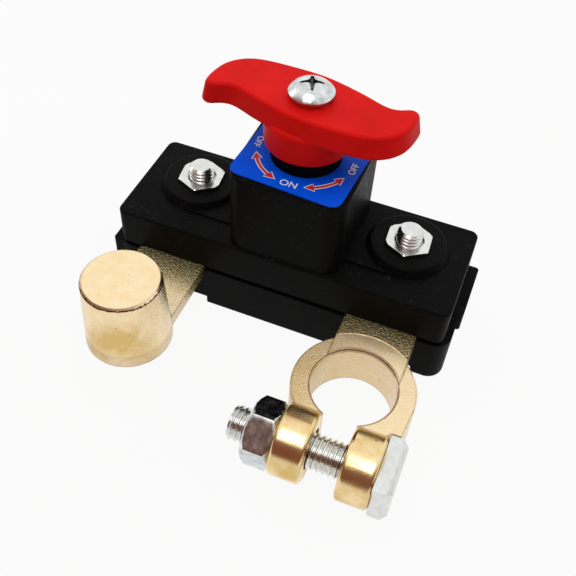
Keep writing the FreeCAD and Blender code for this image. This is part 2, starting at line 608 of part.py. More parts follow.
# Terminal with the split clamp ring, cast in one piece with its bar: first the two ears as one drum about
# the clamp bolt, with a waist between them and rounded rims
clamp = new_body("clamp_terminal")
sketch = new_sketch(clamp, "ears_section", EARS_Z)
sketch.setExpression("AttachmentOffset.Base.y", "-Sizes.clamp_bolt_y")
GAP_LEFT = "(Sizes.ring_x - Sizes.ear_gap / 2)"
GAP_RIGHT = "(Sizes.ring_x + Sizes.ear_gap / 2)"
WAIST = "(Sizes.ear_radius - 2 * Sizes.ear_edge)"
add_outline(sketch, [(EARS_LEFT, "0"), (EARS_LEFT, "Sizes.ear_radius"), (GAP_LEFT, "Sizes.ear_radius"),
                     (GAP_LEFT, WAIST), (GAP_RIGHT, WAIST), (GAP_RIGHT, "Sizes.ear_radius"),
                     (EARS_RIGHT, "Sizes.ear_radius"), (EARS_RIGHT, "0")])
ears = clamp.newObject("PartDesign::Revolution", "ears")
ears.Profile = sketch
ears.ReferenceAxis = (sketch, ["H_Axis"])
doc.recompute()
rims = ["Edge%d" % index for index, edge in enumerate(ears.Shape.Edges, start=1)
        if isinstance(edge.Curve, Part.Circle) and abs(edge.Curve.Radius - number("ear_radius")) < 0.01]
dress(clamp, "Fillet", rims, "Sizes.ear_edge")

# Bar, ring with bevelled rims, and the stop for the square bolt head
add_bar(clamp, *BARS[1], "-Sizes.ring_y")
sketch = new_sketch(clamp, "ring_plan", RING_FOOT + " + Sizes.ring_edge")
add_circle(sketch, "Sizes.ring_x", "-Sizes.ring_y", "Sizes.ring_radius")
pad(clamp, sketch, "Sizes.ring_height - 2 * Sizes.ring_edge")
NARROW = "Sizes.ring_radius - Sizes.ring_edge"
for name, low, high, z in (("ring_rim_low", NARROW, "Sizes.ring_radius", RING_FOOT),
                           ("ring_rim_high", "Sizes.ring_radius", NARROW, RING_TOP + " - Sizes.ring_edge")):
    rim = clamp.newObject("PartDesign::AdditiveCone", name)
    rim.setExpression("Radius1", low)
    rim.setExpression("Radius2", high)
    rim.setExpression("Height", "Sizes.ring_edge")
    place(rim, "Sizes.ring_x", "-Sizes.ring_y", z)
    doc.recompute()
sketch = new_sketch(clamp, "stop_plan", RING_FOOT)
STOP_Y = "(-Sizes.clamp_bolt_y + Sizes.square_across / 2 + Sizes.stop_play)"
add_outline(sketch, [("Sizes.ring_x", "-Sizes.ring_y"), (GAP_RIGHT, STOP_Y),
                     ("Sizes.ring_x + Sizes.stop_reach", STOP_Y),
                     ("Sizes.ring_x + Sizes.ring_radius", "-Sizes.ring_y")])
pad(clamp, sketch, "Sizes.ring_height")

# Bore with a bevelled rim, and the gap that splits the ring and the ears
sketch = new_sketch(clamp, "ring_bore", RING_TOP + " + Sizes.ear_radius")
add_circle(sketch, "Sizes.ring_x", "-Sizes.ring_y", "Sizes.bore_radius")
pocket(clamp, sketch)
mouth = clamp.newObject("PartDesign::SubtractiveCone", "bore_mouth")
mouth.setExpression("Radius1", "Sizes.bore_radius")
mouth.setExpression("Radius2", "Sizes.bore_radius + Sizes.ring_edge + Sizes.ring_drop")
mouth.setExpression("Height", "Sizes.ring_edge + Sizes.ring_drop")
place(mouth, "Sizes.ring_x", "-Sizes.ring_y", RING_TOP + " - Sizes.ring_edge")
doc.recompute()
sketch = new_sketch(clamp, "ear_gap_plan", RING_TOP + " + Sizes.ear_radius")
add_rectangle(sketch, GAP_LEFT, GAP_RIGHT, "-Sizes.clamp_bolt_y - 2 * Sizes.ear_radius", "-Sizes.ring_y")
pocket(clamp, sketch)
hole = clamp.newObject("PartDesign::SubtractiveCylinder", "clamp_bolt_hole")
hole.Placement = Placement(Vector(), ALONG_X)
hole.setExpression("Radius", "Sizes.clamp_bolt_radius + Sizes.clamp_bolt_play")
hole.setExpression("Height", "%s - %s + 2 * Sizes.overlap" % (EARS_RIGHT, EARS_LEFT))
place(hole, EARS_LEFT + " - Sizes.overlap", "-Sizes.clamp_bolt_y", EARS_Z)
doc.recompute()
bolt_eye(clamp, BOLTS[1][1])
parts.append(clamp)


def hexagon_nut(label, across, height, thread, turn):
    """A hexagon nut on the origin with bevelled corners and a plain bore."""
    prism_piece = prism(label + "_prism", across, height, turn)
    limit = doc.addObject("Part::Sphere", label + "_limit")
    limit.setExpression("Radius", "sqrt(pow(%s * Sizes.nut_corner; 2) + pow(%s / 2; 2))" % (across, height))
    place(limit, "0", "0", "(%s) / 2" % height)
    shaped = common(label + "_shaped", prism_piece, limit)
    bore = cylinder(label + "_bore", "%s + Sizes.thread_play" % thread, "%s + 2 * Sizes.overlap" % height,
                    "0", "0", "-Sizes.overlap")
    nut = cut(label, shaped, bore)
    nut.Label = label
    return nut


def bevelled_shank(label, radius, length, bevel):
    """A round shank on the origin with a bevelled tip."""
    shank = cylinder(label + "_shank", radius, "%s - %s" % (length, bevel))
    tip = doc.addObject("Part::Cone", label + "_tip")
    tip.setExpression("Radius1", radius)
    tip.setExpression("Radius2", "%s - %s" % (radius, bevel))
    tip.setExpression("Height", bevel)
    place(tip, "0", "0", "%s - %s" % (length, bevel))
    return [shank, tip]


# Hexagon bolts from below and nuts on top, which close the box over the bars
for side, x in BOLTS:
    name = "box_bolt_" + side
    turn = "Sizes.nut_turn_%s * 1 deg" % side
    head = prism(name + "_head", "Sizes.nut_across", "Sizes.head_height", turn)
    limit = doc.addObject("Part::Sphere", name + "_limit")
    limit.setExpression("Radius",
                        "sqrt(pow(Sizes.nut_across * Sizes.nut_corner; 2) + pow(Sizes.head_height; 2))")
    place(limit, "0", "0", "Sizes.head_height")
    shaped = common(name + "_shaped", head, limit)
    length = "(%s + Sizes.nut_height + Sizes.bolt_tip - Sizes.head_sunk)" % NUT_SEAT
    bolt = fuse(name, [shaped] + bevelled_shank(name, "Sizes.bolt_radius", length, "Sizes.tip_bevel"))
    bolt.Label = name
    parts.append(place(bolt, x, "Sizes.bolt_y", "Sizes.head_sunk"))
    nut = hexagon_nut("box_nut_" + side, "Sizes.nut_across", "Sizes.nut_height", "Sizes.bolt_radius", turn)
    parts.append(place(nut, x, "Sizes.bolt_y", NUT_SEAT))

# Square-headed clamp bolt, kept from turning by the stop on the ring, with its nut
SQUARE = "Sizes.square_across"
square = block("clamp_bolt_square", SQUARE, SQUARE, "Sizes.square_height", "0", "0", "0")
rounding = cylinder("clamp_bolt_rounding", "Sizes.square_round", "Sizes.square_height")
head = common("clamp_bolt_head", square, rounding)
length = "(Sizes.square_height + %s - %s + Sizes.clamp_nut_height + Sizes.clamp_bolt_tip)" % (
    EARS_RIGHT, EARS_LEFT)
shank = bevelled_shank("clamp_bolt", "Sizes.clamp_bolt_radius", length, "Sizes.tip_bevel")
bolt = fuse("clamp_bolt", [head] + shank)
bolt.Placement = Placement(Vector(), Rotation(Vector(0, 1, 0), -90))
bolt.Label = "clamp_bolt"
parts.append(place(bolt, EARS_RIGHT + " + Sizes.square_height", "-Sizes.clamp_bolt_y", CLAMP_BOLT_Z))
nut = hexagon_nut("clamp_nut", "Sizes.clamp_nut_across", "Sizes.clamp_nut_height", "Sizes.clamp_bolt_radius",
                  "Sizes.clamp_nut_turn * 1 deg")
nut.Placement = Placement(Vector(), Rotation(Vector(0, 1, 0), -90))
parts.append(place(nut, EARS_LEFT, "-Sizes.clamp_bolt_y", CLAMP_BOLT_Z))

# Spindle: lower pivot, square for the carrier, flange, round shaft with a seal groove, square for the handle
SEAL_Z = "(%s + Sizes.seal_height)" % ROOF_UNDER
PIVOT_FOOT = "(Sizes.base_height - Sizes.pivot_depth + Sizes.pivot_gap)"
DRIVE_FOOT = "(%s + 2 * Sizes.face_play)" % BRIDGE_TOP
pivot = cylinder("spindle_pivot", "Sizes.pivot_radius", "%s - %s + Sizes.overlap" % (DRIVE_FOOT, PIVOT_FOOT),
                 "0", "0", PIVOT_FOOT)
drive = block("spindle_drive", "Sizes.drive_width", "Sizes.drive_width", "%s - %s" % (FLANGE_TOP, DRIVE_FOOT),
              "0", "0", DRIVE_FOOT)
flange = cylinder("spindle_flange", "Sizes.flange_radius", "Sizes.flange_thickness", "0", "0", FLANGE_FOOT)
shaft = cylinder("spindle_shaft", "Sizes.shaft_radius", "%s - %s" % (HUB_FOOT, FLANGE_FOOT),
                 "0", "0", FLANGE_FOOT)
square = block("spindle_square", "Sizes.head_drive", "Sizes.head_drive",
               "Sizes.head_drive_height + Sizes.overlap", "0", "0", HUB_FOOT + " - Sizes.overlap")
solid = fuse("spindle_solid", [pivot, drive, flange, shaft, square])
SEAL_ROOT = "(Sizes.shaft_radius - 2 * Sizes.seal_wire + Sizes.shaft_play - 2 * Sizes.seal_play)"
SEAL_GROOVE = "2 * (Sizes.seal_wire + Sizes.seal_play)"
GROOVE_FOOT = SEAL_Z + " - Sizes.seal_wire - Sizes.seal_play"
outer = cylinder("groove_outer", "Sizes.shaft_radius + Sizes.overlap", SEAL_GROOVE, "0", "0", GROOVE_FOOT)
inner = cylinder("groove_inner", SEAL_ROOT, SEAL_GROOVE, "0", "0", GROOVE_FOOT)
groove = cut("spindle_groove", outer, inner)
tapped = cylinder("spindle_tapping", "Sizes.screw_radius + Sizes.thread_play",
                  "Sizes.tapped_depth + Sizes.overlap", "0", "0",
                  HUB_FOOT + " + Sizes.head_drive_height - Sizes.tapped_depth")
spindle = cut("spindle", cut("spindle_grooved", solid, groove), tapped)
spindle.Label = "spindle"
parts.append(spindle)

# Seal ring in the spindle's groove
seal = doc.addObject("Part::Torus", "spindle_seal")
seal.setExpression("Radius1", "Sizes.shaft_radius + Sizes.shaft_play - Sizes.seal_wire - Sizes.seal_play")
seal.setExpression("Radius2", "Sizes.seal_wire")
seal.Label = "spindle_seal"
parts.append(place(seal, "0", "0", SEAL_Z))


def flat_ring(label, outer_radius, inner_radius, thickness, z):
    """A flat washer about the axis."""
    disc = cylinder(label + "_disc", outer_radius, thickness, "0", "0", z)
    eye = cylinder(label + "_eye", inner_radius, thickness + " + 2 * Sizes.overlap",
                   "0", "0", z + " - Sizes.overlap")
    ring = cut(label, disc, eye)
    ring.Label = label
    return ring


parts.append(flat_ring("thrust_washer", "Sizes.thrust_radius", "Sizes.shaft_radius + Sizes.washer_play",
                       "Sizes.thrust_thickness", "(%s + Sizes.face_play)" % FLANGE_TOP))

# Contact carrier, moulded, turned by the spindle's square and grooved for the bridge
disc = cylinder("carrier_disc", "Sizes.carrier_radius", "Sizes.carrier_height", "0", "0", CARRIER_FOOT)
DRIVE_EYE = "Sizes.drive_width + 2 * Sizes.drive_play"
eye = block("carrier_eye", DRIVE_EYE, DRIVE_EYE, "Sizes.carrier_height + 2 * Sizes.overlap",
            "0", "0", CARRIER_FOOT + " - Sizes.overlap")
slot = block("carrier_slot", "Sizes.bridge_width + 2 * Sizes.drive_play", "4 * Sizes.carrier_radius",
             "Sizes.carrier_grip + Sizes.overlap", "0", "0", CARRIER_FOOT + " - Sizes.overlap")
carrier = cut("contact_carrier", disc, fuse("carrier_cuts", [eye, slot]))
carrier.Label = "contact_carrier"
parts.append(carrier)

# Contact bridge: a brass strip with round ends that joins the two tongues when the switch is on
disc = cylinder("bridge_disc", "Sizes.bridge_reach", "Sizes.bridge_thickness", "0", "0", BRIDGE_FOOT)
strip = block("bridge_strip", "Sizes.bridge_width", "4 * Sizes.bridge_reach", "Sizes.bridge_thickness",
              "0", "0", BRIDGE_FOOT)
eye = cylinder("bridge_eye", "Sizes.pivot_radius + Sizes.drive_play",
               "Sizes.bridge_thickness + 2 * Sizes.overlap", "0", "0", BRIDGE_FOOT + " - Sizes.overlap")
bridge = cut("contact_bridge", common("bridge_plate", disc, strip), eye)
bridge.Label = "contact_bridge"
parts.append(bridge)


def coil_spring(label, radius, wire, turns, foot, top):
    """A round-wire spring about the axis whose ends touch the heights foot and top."""
    rise = top - foot - 2 * wire
    path = Part.makeHelix(rise / turns, rise, radius)
    path.translate(Vector(0, 0, foot + wire))
    section = Part.Wire(Part.makeCircle(wire, Vector(radius, 0, foot + wire), Vector(0, 1, 0)))
    item = doc.addObject("Part::Feature", label)
    item.Shape = Part.Wire(path.Edges).makePipeShell([section], True, True)
    item.Label = label
    return item


bridge_top = seam_top + number("face_play") + number("bridge_thickness")
carrier_top = bridge_top + number("face_play") - number("carrier_grip") + number("carrier_height")
flange_foot = (roof_top - number("turret_roof") - number("thrust_thickness") - 2 * number("face_play")
               - number("flange_thickness"))
parts.append(coil_spring("contact_spring", number("spring_radius"), number("spring_wire"),
                         number("spring_turns"), carrier_top, flange_foot))

# Handle: an S-shaped grip on a round hub, moulded in one piece
GRIP_HALF = [(-0.995, -0.43), (-1.0, -0.24), (-0.985, 0.05), (-0.95, 0.36), (-0.86, 0.68), (-0.73, 0.89),
             (-0.58, 0.976), (-0.37, 1.0), (-0.155, 0.994), (0.055, 0.94), (0.27, 0.80), (0.495, 0.607),
             (0.625, 0.476), (0.74, 0.417), (0.825, 0.476), (0.89, 0.56), (0.945, 0.56)]


def grip_outline(half_length, half_width, height):
    """The S-shaped outline of the grip: a closed curve that is the same after half a turn."""
    half = [Vector(x * half_length, y * half_width, height) for x, y in GRIP_HALF]
    curve = Part.BSplineCurve()
    curve.interpolate(half + [Vector(-spot.x, -spot.y, height) for spot in half], PeriodicFlag=True)
    start, end = curve.FirstParameter, curve.LastParameter
    middle = (start + end) / 2
    return Part.Wire([curve.toShape(start, middle), curve.toShape(middle, end)])


hub_foot = roof_top + number("neck_height") + number("hub_gap")
grip_foot = hub_foot + number("hub_height")
grip_top = grip_foot + number("grip_height")
half_long, half_wide = number("grip_length") / 2, number("grip_width") / 2
upper = grip_outline(half_long, half_wide, grip_top)
lower = grip_outline(half_long + number("grip_spread"), half_wide + number("grip_spread"), grip_foot)
grip_solid = Part.makeLoft([lower, upper], True, True)
rims = [edge for edge in grip_solid.Edges if edge.BoundBox.ZLength < 0.01]
grip = doc.addObject("Part::Feature", "grip")
grip.Shape = grip_solid.makeFillet(number("grip_edge"), rims)
hub = new_body("hub")
sketch = new_sketch(hub, "hub_section", role="XZ_Plane")
add_outline(sketch, [("0", HUB_FOOT), ("Sizes.hub_foot_radius", HUB_FOOT),
                     ("Sizes.hub_top_radius", HUB_RIM), ("0", HUB_RIM)])
turned = hub.newObject("PartDesign::Revolution", "hub_turned")
turned.Profile = sketch
turned.ReferenceAxis = (sketch, ["V_Axis"])
doc.recompute()
dress(hub, "Fillet", level_edges(hub.Tip.Shape, hub_foot), "Sizes.hub_edge")
dress(hub, "Fillet", level_edges(hub.Tip.Shape, grip_foot + number("hub_rise")), "Sizes.hub_blend")
SOCKET = "Sizes.head_drive + 2 * Sizes.drive_play"
socket = block("knob_socket", SOCKET, SOCKET, "Sizes.head_drive_height + Sizes.socket_gap + Sizes.overlap",
               "0", "0", HUB_FOOT + " - Sizes.overlap")
screw_hole = cylinder("knob_screw_hole", "Sizes.screw_radius + Sizes.bolt_play",
                      "Sizes.hub_height + Sizes.grip_height + Sizes.overlap", "0", "0", HUB_FOOT)
knob = cut("knob", fuse("knob_solid", [grip, hub]), fuse("knob_cuts", [socket, screw_hole]))
knob.Label = "knob"
parts.append(knob)

# Split spring washer under the screw's head
closed = flat_ring("knob_washer_ring", "Sizes.spring_washer_radius", "Sizes.screw_radius + Sizes.bolt_play",
                   "Sizes.spring_washer_thickness", GRIP_TOP)
slit = block("knob_washer_slit", "2 * Sizes.spring_washer_radius", "Sizes.washer_slit",
             "Sizes.spring_washer_thickness + 2 * Sizes.overlap", "Sizes.spring_washer_radius", "0",
             GRIP_TOP + " - Sizes.overlap")
washer = cut("knob_washer", closed, slit)
washer.Label = "knob_washer"
parts.append(washer)

# Handle screw: domed head with a cross recess
SPHERE = "((pow(Sizes.screw_head; 2) + pow(Sizes.screw_dome; 2)) / (2 * Sizes.screw_dome))"
ball = doc.addObject("Part::Sphere", "screw_ball")
ball.setExpression("Radius", SPHERE)
place(ball, "0", "0", "%s + Sizes.screw_dome - %s" % (SCREW_SEAT, SPHERE))
trim = cylinder("screw_trim", "2 * Sizes.screw_head", "2 * Sizes.screw_dome", "0", "0", SCREW_SEAT)
head = common("screw_head_dome", ball, trim)
shank = cylinder("screw_shank", "Sizes.screw_radius", "Sizes.screw_length + Sizes.overlap",
                 "0", "0", SCREW_SEAT + " - Sizes.screw_length")
CROSS_FOOT = "%s + Sizes.screw_dome - Sizes.cross_depth" % SCREW_SEAT
CROSS_CUT = "Sizes.cross_depth + Sizes.overlap"
cross = fuse("screw_cross", [
    block("cross_first", "Sizes.cross_length", "Sizes.cross_width", CROSS_CUT, "0", "0", CROSS_FOOT),
    block("cross_second", "Sizes.cross_width", "Sizes.cross_length", CROSS_CUT, "0", "0", CROSS_FOOT)])
cross.Placement = Placement(Vector(), Rotation(Vector(0, 0, 1), 0))
cross.setExpression("Placement.Rotation.Angle", "Sizes.cross_turn * 1 deg")
screw = cut("knob_screw", fuse("screw_solid", [head, shank]), cross)
screw.Label = "knob_screw"
parts.append(screw)

doc.recompute()

# Everything is checked before anything is written
for item in doc.Objects:
    if "Invalid" in item.State or "Error" in item.State:
        raise RuntimeError("%s failed: %s" % (item.Name, item.State))
    if item.TypeId.startswith("PartDesign::") and ("Pocket" in item.TypeId or "Subtractive" in item.TypeId):
        if item.Shape.Volume > item.BaseFeature.Shape.Volume - 0.01:
            raise RuntimeError("%s cuts nothing" % item.Name)
for item in parts:
    if item.Shape.isNull() or not item.Shape.isValid():
        raise RuntimeError("%s has no valid shape" % item.Label)
os.makedirs("parts", exist_ok=True)
for item in parts:
    item.Shape.exportStep("parts/%s.step" % item.Label)
    box = item.Shape.BoundBox
    print("%-16s %8.1f mm3  x %6.1f..%6.1f  y %6.1f..%6.1f  z %6.1f..%6.1f  solids %d" % (
        item.Label, item.Shape.Volume, box.XMin, box.XMax, box.YMin, box.YMax, box.ZMin, box.ZMax,
        len(item.Shape.Solids)))
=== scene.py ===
import math

import bpy
import numpy as np
from mathutils import Matrix, Vector


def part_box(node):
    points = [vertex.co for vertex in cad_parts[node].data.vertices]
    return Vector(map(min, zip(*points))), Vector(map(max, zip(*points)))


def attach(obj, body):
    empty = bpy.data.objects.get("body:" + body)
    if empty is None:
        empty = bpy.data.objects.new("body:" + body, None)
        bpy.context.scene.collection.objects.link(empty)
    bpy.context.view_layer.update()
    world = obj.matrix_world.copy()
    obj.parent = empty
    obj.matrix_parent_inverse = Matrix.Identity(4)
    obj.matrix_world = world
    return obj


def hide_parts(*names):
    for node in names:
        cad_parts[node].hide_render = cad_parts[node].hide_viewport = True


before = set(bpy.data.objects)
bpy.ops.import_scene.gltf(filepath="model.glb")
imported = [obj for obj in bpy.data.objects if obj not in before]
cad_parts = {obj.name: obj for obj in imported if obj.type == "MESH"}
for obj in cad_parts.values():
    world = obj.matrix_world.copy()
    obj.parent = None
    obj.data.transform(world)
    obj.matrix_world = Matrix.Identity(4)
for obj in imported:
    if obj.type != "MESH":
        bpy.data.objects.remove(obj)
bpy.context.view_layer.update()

scene = bpy.context.scene
scene.view_settings.view_transform = "Standard"
MM = 0.001

# Camera
# It looks down on the switch from the front right, about 18 cm away and rolled a little. Its place and
# lens were worked out from the box's straight edges, the post and the ring.
camera_data = bpy.data.cameras.new("camera")
camera_data.sensor_width = 36.0
camera_data.lens = 51.08
camera_data.clip_start = 0.01
camera = bpy.data.objects.new("camera", camera_data)
scene.collection.objects.link(camera)
camera_spot = Vector((42.3, -131.5, 159.4)) * MM
camera_aim = Vector((5.26, -21.7, 25.0)) * MM
camera_roll = math.radians(4.04)
level_view = (camera_aim - camera_spot).to_track_quat("-Z", "Y").to_matrix()
camera.location = camera_spot
camera.rotation_euler = (level_view @ Matrix.Rotation(camera_roll, 3, "Z")).to_euler()
scene.camera = camera


# Lower half of the box
# Black glass-filled nylon, moulded with a fine sandy grain. The brass bars lie in its channels and the
# contact parts turn in its round cavity.
def node(tree, kind, inputs=None, **settings):
    """One shader node; inputs names its sockets and gives each a value or a socket to link."""
    item = tree.nodes.new("ShaderNode" + kind)
    for name, value in settings.items():
        setattr(item, name, value)
    for name, value in (inputs or {}).items():
        if isinstance(value, bpy.types.NodeSocket):
            tree.links.new(value, item.inputs[name])
        else:
            item.inputs[name].default_value = value
    return item


def start_material(name, **constants):
    """A new material, its tree, its shader with the constant sockets set, and the object coordinates."""
    material = bpy.data.materials.new(name)
    material.use_nodes = True
    tree = material.node_tree
    shader = tree.nodes["Principled BSDF"]
    for socket, value in constants.items():
        shader.inputs[socket.replace("_", " ")].default_value = value
    where = tree.nodes.new("ShaderNodeTexCoord").outputs["Object"]
    return material, tree, shader, where


def grain(tree, where, size, detail=4.0, roughness=0.55):
    """Noise from 0 to 1 whose lumps are about size metres across."""
    inputs = {"Vector": where, "Scale": 1.0 / size, "Detail": detail, "Roughness": roughness}
    return node(tree, "TexNoise", inputs).outputs["Fac"]


def ramp(tree, value, *stops):
    """A colour ramp over a value; each stop is a position and a colour or a grey level."""
    item = node(tree, "ValToRGB", {"Fac": value})
    steps = item.color_ramp.elements
    for i, (position, colour) in enumerate(stops):
        step = steps[i] if i < 2 else steps.new(position)
        step.position = position
        step.color = (*colour, 1.0) if isinstance(colour, tuple) else (colour, colour, colour, 1.0)
    return item.outputs["Color"]


def mix(tree, factor, first, second):
    """Two colours mixed by a factor socket or number; each colour is a socket or a tuple."""
    item = node(tree, "Mix", data_type="RGBA")
    for socket, value in ((item.inputs[0], factor), (item.inputs[6], first), (item.inputs[7], second)):
        if isinstance(value, bpy.types.NodeSocket):
            tree.links.new(value, socket)
        else:
            socket.default_value = (*value, 1.0) if isinstance(value, tuple) else value
    return item.outputs[2]


def math_node(tree, operation, first, second=0.0):
    """One arithmetic node on two sockets or numbers."""
    item = node(tree, "Math", operation=operation)
    for socket, value in zip(item.inputs, (first, second)):
        if isinstance(value, bpy.types.NodeSocket):
            tree.links.new(value, socket)
        else:
            socket.default_value = value
    return item.outputs[0]


def bumps(tree, shader, *layers):
    """Stacks bump layers onto the shader; each is a height socket, its depth and its strength."""
    normal = None
    for height, depth, strength in layers:
        inputs = {"Height": height, "Distance": depth, "Strength": strength}
        if normal is not None:
            inputs["Normal"] = normal
        normal = node(tree, "Bump", inputs).outputs["Normal"]
    tree.links.new(normal, shader.inputs["Normal"])


def feed(tree, shader, socket, value):
    """Links a socket that varies over the surface to the shader."""
    tree.links.new(value, shader.inputs[socket])


def coat_node(name, material):
    """Gives a node its finish."""
    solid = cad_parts[name]
    solid.data.materials.clear()
    solid.data.materials.append(material)


black_plastic, tree, shader, where = start_material("black_moulded_plastic", Specular_IOR_Level=0.035)
cloud = grain(tree, where, 9 * MM, 3.0)
sand = grain(tree, where, 0.42 * MM, 5.0, 0.65)
scuff = grain(tree, where, 1.6 * MM, 6.0, 0.7)
fresh = ramp(tree, cloud, (0.3, (0.0026, 0.0029, 0.0029)), (0.7, (0.0048, 0.0051, 0.0050)))
worn = ramp(tree, scuff, (0.57, 0.0), (0.76, 1.0))
feed(tree, shader, "Base Color", mix(tree, worn, fresh, (0.021, 0.022, 0.021)))
feed(tree, shader, "Roughness", ramp(tree, scuff, (0.3, 0.36), (0.7, 0.54)))
bumps(tree, shader, (cloud, 0.25 * MM, 0.25), (sand, 0.06 * MM, 0.6))
coat_node("base_housing", black_plastic)

# Brass terminals
# Sand-cast brass bars, one carrying the tapered post and one the split ring with its ears. The post's
# top, the ring's faces and bore are machined and the ears are polished; the bars keep their cast skin.
CREAM = (0.95, 0.78, 0.51)
WARM = (0.92, 0.71, 0.41)
GOLD = (0.66, 0.44, 0.13)
BUFFED_LIGHT = (0.93, 0.75, 0.44)
BUFFED_DEEP = (0.86, 0.63, 0.31)
GRIME = (0.34, 0.19, 0.06)
PIT = (0.30, 0.16, 0.05)
# Olive painted on the bars next to the box as a reflection of the black box.
BOX_REFLECTION_OLIVE = (0.36, 0.29, 0.07)
# Dark brown for the lines along edges, creases and chamfer rims.
DARK_LINE_BROWN = (0.09, 0.032, 0.012)
BAR_TOP = 13.8 * MM
POST_X, POST_Y, POST_RIM = -26.7 * MM, -36.9 * MM, 28.6 * MM
RING_X, RING_Y, RING_TOP = 25.3 * MM, -32.4 * MM, 13.4 * MM
BORE_MOUTH, RING_RADIUS = 9.75 * MM, 13.75 * MM


def times(tree, *factors):
    """Product of sockets and numbers."""
    total = factors[0]
    for factor in factors[1:]:
        total = math_node(tree, "MULTIPLY", total, factor)
    return total


def most(tree, *values):
    """The largest of some sockets."""
    total = values[0]
    for value in values[1:]:
        total = math_node(tree, "MAXIMUM", total, value)
    return total


def rest_of(tree, value):
    """One less a value."""
    return math_node(tree, "SUBTRACT", 1.0, value)


def slope(tree, value, low, high):
    """0 below low, 1 above high and even between; with the limits changed round it falls instead."""
    return node(tree, "MapRange", {"Value": value, "From Min": low, "From Max": high}).outputs[0]


def between(tree, value, low, high, soft):
    """1 where a value lies between two limits, falling to 0 over the soft width outside them."""
    return times(tree, slope(tree, value, low - soft, low), slope(tree, value, high + soft, high))


def distance_from(tree, place, x, y):
    """Distance in plan from an upright line at (x, y): the root of the two squared offsets' sum."""
    dx = math_node(tree, "SUBTRACT", place[0], x)
    dy = math_node(tree, "SUBTRACT", place[1], y)
    return math_node(tree, "SQRT", math_node(tree, "ADD", times(tree, dx, dx), times(tree, dy, dy)))


def uneven(tree, value, wander, width):
    """A value moved to and fro by noise, so that a line drawn at one height of it is ragged."""
    return math_node(tree, "ADD", value, times(tree, math_node(tree, "SUBTRACT", wander, 0.5), width))


def post_zones(tree, place, wander, patches):
    """Where the post's finishes and painted marks lie, each from 0 to 1. The cast grain is on the bar
    and on the post's right side, olive painted on the bar near the box as the box's reflection, a ragged
    dark line along the bevel round the top, and stains from handling on the side's lower front. Nothing
    is polished."""
    x, y, z = place[0], place[1], place[2]
    bar = slope(tree, z, BAR_TOP + 0.6 * MM, BAR_TOP + 0.1 * MM)
    # Painted reflection of the black box: olive on the bar, fading out away from the box.
    painted_box_reflection = times(tree, bar, slope(tree, y, -25.5 * MM, -20 * MM))
    below_rim = slope(tree, z, POST_RIM, POST_RIM - 0.2 * MM)
    side = times(tree, below_rim, slope(tree, x, -29 * MM, -21 * MM), 0.6)
    ragged = uneven(tree, z, wander, 1.3 * MM)
    rim = between(tree, ragged, POST_RIM - 0.1 * MM, POST_RIM + 0.1 * MM, 0.09 * MM)
    bevel = slope(tree, distance_from(tree, place, POST_X, POST_Y), 8.3 * MM, 8.4 * MM)
    low_front = times(tree, slope(tree, z, 27 * MM, 21 * MM), slope(tree, y, -39 * MM, -44 * MM))
    return {
        "cast": most(tree, times(tree, bar, 0.35), painted_box_reflection, side),
        "polish": times(tree, 0.0, bar),
        "line": times(tree, rim, bevel),
        "stain": times(tree, low_front, ramp(tree, patches, (0.42, 0.0), (0.62, 0.85))),
        "painted_box_reflection": painted_box_reflection,
        "dull": times(tree, bar, rest_of(tree, painted_box_reflection)),
    }


def clamp_zones(tree, place, wander, patches):
    """Where the clamp's finishes and painted marks lie, each from 0 to 1. The cast grain is on the bar
    and the ring's left half, olive painted on the bar outside the ring as the black box's reflection,
    polish on the ears, a thin dark line round the bore's mouth, and stains on the ring's left half and
    the ears."""
    x, y, z = place[0], place[1], place[2]
    around = uneven(tree, distance_from(tree, place, RING_X, RING_Y), wander, 0.25 * MM)
    polish = slope(tree, y, -41.2 * MM, -42.6 * MM)
    outside = slope(tree, around, RING_RADIUS + 0.1 * MM, RING_RADIUS + 0.35 * MM)
    bar = times(tree, outside, slope(tree, y, -30 * MM, -28 * MM))
    left = times(tree, slope(tree, x, 23 * MM, 15 * MM), rest_of(tree, polish), 0.8)
    mouth = between(tree, around, BORE_MOUTH - 0.07 * MM, BORE_MOUTH + 0.09 * MM, 0.05 * MM)
    top = slope(tree, z, RING_TOP - 0.4 * MM, RING_TOP - 0.2 * MM)
    left_stain = times(tree, left, ramp(tree, patches, (0.35, 0.1), (0.6, 0.6)))
    smudge = times(tree, polish, ramp(tree, patches, (0.45, 0.0), (0.65, 0.8)))
    return {
        "cast": most(tree, bar, left),
        "polish": polish,
        "line": times(tree, mouth, top, 0.85),
        "stain": most(tree, left_stain, smudge),
        # The bar outside the ring takes the painted reflection of the black box.
        "painted_box_reflection": bar,
        "dull": rest_of(tree, most(tree, polish, bar)),
    }


def sharp_edges(tree, radius):
    """1 along edges, where the normal leans far from the one that a rounded edge would have."""
    flat = node(tree, "NewGeometry").outputs["Normal"]
    rounded = node(tree, "Bevel", {"Radius": radius}, samples=6).outputs["Normal"]
    bend = node(tree, "VectorMath", {0: flat, 1: rounded}, operation="DOT_PRODUCT").outputs["Value"]
    return slope(tree, bend, 0.965, 0.86)


